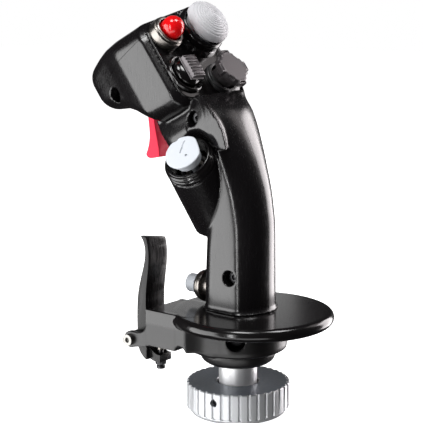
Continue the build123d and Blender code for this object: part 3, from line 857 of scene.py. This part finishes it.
def bracket_field(x, y, z):
    corners = [(-34, 34), (-5, 34), (-4, 10), (-25, -1), (-34, 7.4)]
    plan = plan_field(x, y, corners, 0.8)
    body = smooth_max(plan, np.maximum(36.5 - z, z - REST_TOP), 0.9)
    ear = np.maximum(np.maximum(y - PIVOT_Y, 28.0 - y), z - 41.9)
    ear = np.maximum(ear, (36.6 - (y - 30.0) * 0.233) - z)
    ear = smooth_min(ear, np.hypot(y - PIVOT_Y, z - PIVOT_Z) - 4.4, 0.6)
    wall = np.minimum(np.abs(x + 32.5), np.abs(x + 6.5)) - 1.5
    along = np.maximum(y - 34.0, 14.0 - y)
    ears = smooth_max(smooth_min(ear, np.maximum(along, z - REST_TOP), 7.0), wall, 0.7)
    ears = np.maximum(ears, (36.6 - np.maximum(y - 30.0, 0) * 0.233) - z)
    ears = np.minimum(ears, smooth_max(np.hypot(y - PIVOT_Y, z - PIVOT_Z) - 4.4, wall, 0.7))
    chamber = box_field(x, y, z, (-31, 18, 26), (-8, 60, 52.5))
    solid = smooth_min(body, ears, 0.5)
    return smooth_max(solid, -chamber, 0.6)


def base_field(x, y, z):
    away = np.hypot(x, y)
    edge = REST_THICK / 2
    disc = np.hypot(np.maximum(np.hypot(x, y - REST_Y) - (REST_R - edge), 0), z - REST_TOP + edge) - edge
    reach = np.interp(z, [CUP_BOTTOM, 35.0, 37.0, 52.0], [24.4, 25.3, CUP_R, CUP_R])
    cup = smooth_max(away - reach, CUP_BOTTOM - z, 1.6)
    cup = np.maximum(cup, z - 53)
    bracket = bracket_field(x, y, z)
    lower = smooth_min(cup, bracket, 6.0)
    lower = smooth_min(lower, disc, 0.8)
    lower = smooth_max(lower, z - REST_TOP, 0.6)
    hollow = np.maximum(np.maximum(away - CUP_R + 3.4, 14.0 - away), np.maximum(38.0 - z, z - 48.9))
    scallop = rod_field(x, y, z, (-38, 10.8, 36.4), (-26, 10.8, 36.4), 3.2)
    cx, cy, cz = CLAMP
    way = rod_field(x, y, z, (cx * 16, cy * 16, cz), (cx * 36, cy * 36, cz), 4.8)
    thread = rod_field(x, y, z, (cx * 9, cy * 9, cz), (cx * 17, cy * 17, cz), 1.7)
    pivot = rod_field(x, y, z, (-40, PIVOT_Y, PIVOT_Z), (0, PIVOT_Y, PIVOT_Z), 1.85)
    chamber = box_field(x, y, z, (-31, 18, 26), (-8, 60, 52.5))
    bore = NECK_R + 0.02 - away
    lower = smooth_max(lower, -scallop, 0.7)
    lower = smooth_max(lower, -way, 0.5)
    for cut in (hollow, thread, pivot, chamber, -bore):
        lower = np.maximum(lower, -cut)
    return lower


def base_casting():
    casting = field_mesh("base_casting_cast", base_field, (-44, -54, 31), (44, 52, 58), 0.6)
    finished(smoothed(casting), "base_casting")


# ---------------------------------------------------------------- face plate and switches

PLATE_THICKNESS = 2.5
TRIM_PLACE, RIDGED_PLACE = (13.1, 178.4), (-12.0, 154.5)
CASTLE_PLACE, RELEASE_PLACE = (13.4, 150.0), (-12.0, 178.0)


def face_plate():
    left, right, low, high_left, high_right, corner = PLATE
    ends = [(left, low), (right, low), (right, high_right), (left, high_left)]
    frame_line = [(x, v - PLATE_MIDDLE, corner) for x, v in ends]
    place = plate_place(0, PLATE_MIDDLE)
    plate = slab("face_plate_slab", place, rounded(frame_line, True, 10), -PLATE_THICKNESS, 0, 0.5)
    holes = {TRIM_PLACE: 4.2, RIDGED_PLACE: 4.2, CASTLE_PLACE: 4.2, RELEASE_PLACE: 6.6}
    for where, radius in holes.items():
        spot = plate_place(*where)
        cut_by(plate, round_cutter(spot @ Vector((0, 0, -6)), spot @ Vector((0, 0, 4)), radius))
    finished(smoothed(plate), "face_plate")


def plate_ring(name, node, spot, outline, **options):
    ring = turned(name, spot, rounded(outline, True), **options)
    finished(ring, node)


def release():
    spot = plate_place(*RELEASE_PLACE)
    outline = [
        (6.6, 0, 0), (8.9, 0, 0), (8.9, 4.7, 0.4), (8.0, 5.1, 0.3), (8.45, 5.7, 0.3),
        (8.3, 6.2, 0.3),
    ]
    outline += [(7.8, 6.6, 0.3), (6.6, 6.5, 0.3)]
    plate_ring("release_collar_turned", "release_collar", spot, outline)
    dome = [(5.8 * cos(a), 8.6 + 5.8 * sin(a)) for a in np.linspace(0, pi / 2, 16)]
    outline = [(0, -9), (1.9, -9), (1.9, 0.5), (5.4, 0.5), (5.8, 0.9)] + dome
    finished(turned("release_button_domed", spot, outline, False), "release_button")


def trim():
    spot = plate_place(*TRIM_PLACE)
    outline = [
        (4.4, 0, 0), (14.6, 0, 0.3), (13.5, 2.6, 1.0), (13.1, 3.2, 0.3), (13.4, 3.9, 0.4),
        (13.5, 6.9, 0.4),
    ]
    outline += [(12.7, 8.2, 0.5), (11.6, 8.2, 0.3), (11.6, 1.4, 0), (4.4, 1.4, 0)]
    plate_ring("trim_skirt_turned", "trim_skirt", spot, outline, sides=160)
    ridges = 10
    radii = np.linspace(12.4, 0, ridges * 7 + 1)
    rise = 10.9 + 7.3 * np.sqrt(np.clip(1 - (radii / 12.75) ** 2.2, 0, 1))
    phase = (radii / 12.4 * ridges) % 1.0
    rise += 0.32 * np.sin(pi * phase) ** 0.6 - 0.16
    stem = [
        (0, -9), (2.0, -9), (2.0, 4.0), (9.6, 4.0), (9.8, 4.4),
        (9.8, 9.9), (11.9, 10.0), (12.35, 10.3), (12.55, 11.0),
    ]
    dome = turned("trim_hat_ridged", spot, stem + list(zip(radii, rise)), False, 160, sharp_over=48.0)
    finished(dome, "trim_hat")


def ridged_field(x, y, z):
    """Cap of the ridged hat: a block with a hollowed left side and ridges across its top."""
    top = 9.4 - 0.012 * y**2 - 0.01 * x**2
    block = round_max(np.maximum(np.abs(x) - 4.3, np.abs(y) - 6.3), z - top, 0.5)
    foot = round_max(np.maximum(np.abs(x) - 4.8, np.abs(y) - 6.7), np.maximum(z - 6.3, 5.4 - z), 0.4)
    block = np.maximum(block, 5.4 - z)
    pitch = 12.6 / 7
    valley = 1.4 * np.clip(np.abs((y / pitch) % 1.0 - 0.5) * 2 - 0.42, 0, 1)
    block = np.maximum(block, z - top + valley)
    dent = np.hypot(x + 9.0, (z - 8.6) * 1.4) - 4.6
    return smooth_min(smooth_max(block, -np.maximum(dent, np.abs(y) - 4.9), 0.4), foot, 0.4)


def ridged_hat():
    spot = plate_place(*RIDGED_PLACE)
    outline = [
        (9.0, 0, 0), (11.2, 0, 0.2), (10.9, 1.6, 0.5), (9.9, 2.3, 0.4), (9.3, 1.9, 0.2),
        (9.0, 1.2, 0),
    ]
    plate_ring("ridged_bezel_turned", "ridged_bezel", spot, outline)
    outline = [
        (0, -9, 0), (2.0, -9, 0), (2.0, 1.4, 0), (8.1, 1.4, 0.2), (7.9, 3.0, 0.9),
        (6.6, 4.4, 0.9),
    ]
    outline += [(4.6, 5.3, 0.5), (0, 5.4, 0)]
    finished(turned("ridged_dome_turned", spot, rounded(outline, False), False), "ridged_dome")
    cap = local_field("ridged_cap_moulded", spot, ridged_field, (-6, -8, 4.6), (6, 8, 11), 0.28)
    finished(cap, "ridged_cap")


def local_field(name, place, field, low, high, cell):
    """Field mesh made in a place's own frame."""
    piece = field_mesh(name, field, low, high, cell)
    turn = place.copy()
    turn.translation *= MM
    piece.data.transform(turn)
    return smoothed(piece, 40.0)


def castle_field(x, y, z):
    """Four-way cap: a flat crown with lugs on its sides and notches between them."""
    away = np.hypot(x, y)
    crown = round_max(away - 9.2, np.maximum(z - 12.0, 7.4 - z), 0.5)
    for turn in range(4):
        a = turn * pi / 2
        along, across = x * cos(a) + y * sin(a), -x * sin(a) + y * cos(a)
        plan = np.maximum(np.abs(along - 9.2) - 1.3, np.abs(across) - 2.8)
        lug = round_max(plan, np.abs(z - 10.2) - 1.8, 0.5)
        crown = smooth_min(crown, lug, 0.3)
        recess = np.maximum(np.maximum(np.abs(along - 9.6) - 0.55, np.abs(across) - 1.8), 11.2 - z)
        crown = smooth_max(crown, -recess, 0.2)
        a += pi / 4
        along, across = x * cos(a) + y * sin(a), -x * sin(a) + y * cos(a)
        notch = np.maximum(np.maximum(8.3 - along, np.abs(across) - 1.7), 10.3 - z)
        crown = smooth_max(crown, -notch, 0.4)
    stem = np.maximum(away - 6.0, np.maximum(z - 8.0, 1.4 - z))
    stalk = np.maximum(away - 2.0, np.maximum(z - 2.0, -9.0 - z))
    return np.minimum(smooth_min(crown, stem, 1.2), stalk)


def castle():
    spot = plate_place(*CASTLE_PLACE)
    outline = [
        (7.6, 0, 0), (9.6, 0, 0.2), (9.4, 1.4, 0.2), (9.0, 1.7, 0.2), (9.3, 2.1, 0.2),
        (9.2, 3.0, 0.3),
    ]
    plate_ring("castle_collar_turned", "castle_collar", spot, outline + [(7.6, 3.0, 0.2)])
    cap = local_field("castle_hat_moulded", spot, castle_field, (-12, -12, -10), (12, 12, 13), 0.4)
    finished(cap, "castle_hat")


def pod_place():
    return place_at(POD_MOUTH, POD_AXIS, (0, 1, 0))


def pod_field(x, y, z):
    """Thumb cap: a round pad with one flat side, a bite out of its rim and an engraved mark."""
    away = np.hypot(x, y)
    under = 0.4 * np.clip(10.2 - z, 0.0, 3.6)
    pad = smooth_max(away - 9.8, -0.74 * x - 0.67 * y - 8.6, 1.2) + under
    bite = np.hypot(x - 9.3, y + 6.9) - 2.6
    pad = smooth_max(pad, -bite, 0.5)
    pad = round_max(pad, np.maximum(z - 10.5 + 0.004 * away**2, 6.5 - z), 0.7)
    off, run = (x - 1.6) * 0.988 + (y + 2.8) * 0.153, (y + 2.8) * 0.988 - (x - 1.6) * 0.153
    slot = np.maximum(np.abs(off) - 0.33, np.abs(run) - 3.8)
    pad = np.maximum(pad, -np.maximum(slot, 9.7 - z))
    peg = np.maximum(np.hypot(x + 2.9, y - 1.5) - 0.6, 9.2 - z)
    pad = np.maximum(pad, -peg)
    foot = np.maximum(away - 7.0, np.maximum(z - 6.8, 3.0 - z))
    stalk = np.maximum(away - 2.0, np.maximum(z - 3.4, -10.0 - z))
    return np.minimum(smooth_min(pad, foot, 0.5), stalk)


def pod():
    spot = pod_place()
    outline = [
        (10.9, 0, 0), (13.4, 0, 0), (13.5, 1.4, 0.4), (12.75, 1.9, 0.3), (13.2, 2.5, 0.4),
        (13.2, 3.4, 0.5),
    ]
    outline += [(12.3, 4.1, 0.4), (12.0, 5.4, 0.5), (10.9, 5.4, 0.3)]
    plate_ring("pod_collar_turned", "pod_collar", spot, outline)
    cap = local_field("pod_hat_moulded", spot, pod_field, (-11, -11, -11), (11, 11, 12), 0.34)
    finished(cap, "pod_hat")


def front_button():
    spot = place_at((-4.0, 16.2, 65.0), (0, 1, 0))
    outline = [
        (5.3, -3.5, 0), (6.0, -3.5, 0), (6.0, 0.1, 0), (8.6, 0.1, 0.3), (8.5, 1.8, 0.3),
        (8.0, 2.3, 0.2),
    ]
    outline += [(8.1, 2.9, 0.2), (7.3, 4.6, 0.6), (5.3, 4.6, 0.3)]
    plate_ring("front_bezel_turned", "front_bezel", spot, outline)
    outline = [
        (0, -6.5, 0), (1.7, -6.5, 0), (1.7, -1, 0), (4.9, -1, 0.3), (4.9, 12.4, 0.8),
        (0, 12.2, 0),
    ]
    finished(turned("front_button_turned", spot, rounded(outline, False), False), "front_button")


def eased_parts():
    """Sub-parts whose CAD shape is right and only wants softer edges."""
    widths = {
        "paddle_lever": 0.6,
        "trigger": 1.1,
        "pivot_screw": 0.35,
        "pivot_nut": 0.3,
        "adjusting_screw": 0.25,
        "adjusting_nut": 0.3,
        "nut_grub_screw": 0.2,
        "cup_clamp_screw": 0.3,
        "shell_screws": 0.25,
    }
    for node, width in widths.items():
        finished(refined(node, width), node)


# ---------------------------------------------------------------- stage, light and camera


def softbox(name, towards, away, size, power, tint=(1, 1, 1), aim=(0, 0, 0.11)):
    """Square soft light in a direction from the object, facing it."""
    light = bpy.data.lights.new(name, "AREA")
    light.shape = "RECTANGLE"
    light.size, light.size_y = size
    light.energy = power
    light.color = tint
    lamp = bpy.data.objects.new(name, light)
    bpy.context.scene.collection.objects.link(lamp)
    lamp.location = Vector(aim) + Vector(towards).normalized() * away
    lamp.rotation_mode = "QUATERNION"
    lamp.rotation_quaternion = (Vector(aim) - lamp.location).to_track_quat("-Z", "Y")
    lamp.visible_camera = False
    return lamp


def stage():
    points = [(-4000, -4000, 0), (4000, -4000, 0), (4000, 4000, 0), (-4000, 4000, 0)]
    floor = mesh_object("floor", points, [(0, 1, 2, 3)])
    white = surface("floor white", (0.8, 0.8, 0.8), 0.9, vary=0.01, grain=30.0, height=1e-6)
    floor.data.materials.append(white)
    glow = white.node_tree.nodes["Principled BSDF"]
    glow.inputs["Emission Color"].default_value = (1, 1, 1, 1)
    glow.inputs["Emission Strength"].default_value = 1.0
    floor.visible_glossy = False
    floor.visible_diffuse = False
    floor.visible_shadow = False
    world = bpy.data.worlds.new("studio")
    bpy.context.scene.world = world
    world.use_nodes = True
    nodes, links = world.node_tree.nodes, world.node_tree.links
    seen = nodes.new("ShaderNodeLightPath")
    room = nodes["Background"]
    room.inputs["Color"].default_value = (0.03, 0.029, 0.03, 1)
    backdrop = nodes.new("ShaderNodeBackground")
    backdrop.inputs["Color"].default_value = (1, 1, 1, 1)
    either = nodes.new("ShaderNodeMixShader")
    links.new(seen.outputs["Is Camera Ray"], either.inputs["Fac"])
    links.new(room.outputs["Background"], either.inputs[1])
    links.new(backdrop.outputs["Background"], either.inputs[2])
    links.new(either.outputs["Shader"], nodes["World Output"].inputs["Surface"])


def around(azimuth, elevation):
    """Unit direction; azimuth is counted from +X towards +Y."""
    a, e = radians(azimuth), radians(elevation)
    return (cos(a) * cos(e), sin(a) * cos(e), sin(e))


def lights():
    """Soft boxes, each with its direction, distance, size in metres, power in watts and tint."""
    softbox("left box", around(144, -6), 1.6, (1.35, 1.7), 42)
    softbox("edge strip", around(188, -4), 1.6, (0.14, 1.5), 12)
    softbox("right box", around(-15, 2), 1.6, (0.95, 1.6), 36, (1.0, 0.95, 0.96))
    softbox("floor card", around(200, -44), 1.0, (1.2, 0.4), 4.0)
    softbox("back card", around(46, 8), 1.7, (0.7, 0.45), 0.7)
    softbox("plate box", around(-26, 32), 1.6, (0.7, 0.65), 2.0, (1.0, 0.93, 0.93))
    softbox("key", around(-168, 66), 1.5, (0.5, 0.5), 14)
    softbox("dome light", around(-70, 66), 1.5, (0.5, 0.5), 12)


EYE, LOOKED_AT = (-0.4728, -0.3694, 0.211), (0, 0, 0.110)
LENS, LENS_SHIFT = 101.4, (-0.0626, -0.0213)


def camera():
    view = bpy.data.cameras.new("camera")
    view.lens = LENS
    view.shift_x, view.shift_y = LENS_SHIFT
    seen_from = bpy.data.objects.new("camera", view)
    bpy.context.scene.collection.objects.link(seen_from)
    seen_from.location = EYE
    seen_from.rotation_mode = "QUATERNION"
    seen_from.rotation_quaternion = (Vector(LOOKED_AT) - seen_from.location).to_track_quat("-Z", "Y")
    bpy.context.scene.camera = seen_from


carried_over()
grip_shells()
coupling_nut()
lower_collar()
base_casting()
face_plate()
release()
trim()
ridged_hat()
castle()
pod()
front_button()
eased_parts()
stage()
lights()
camera()
bpy.context.scene.view_settings.view_transform = "Standard"
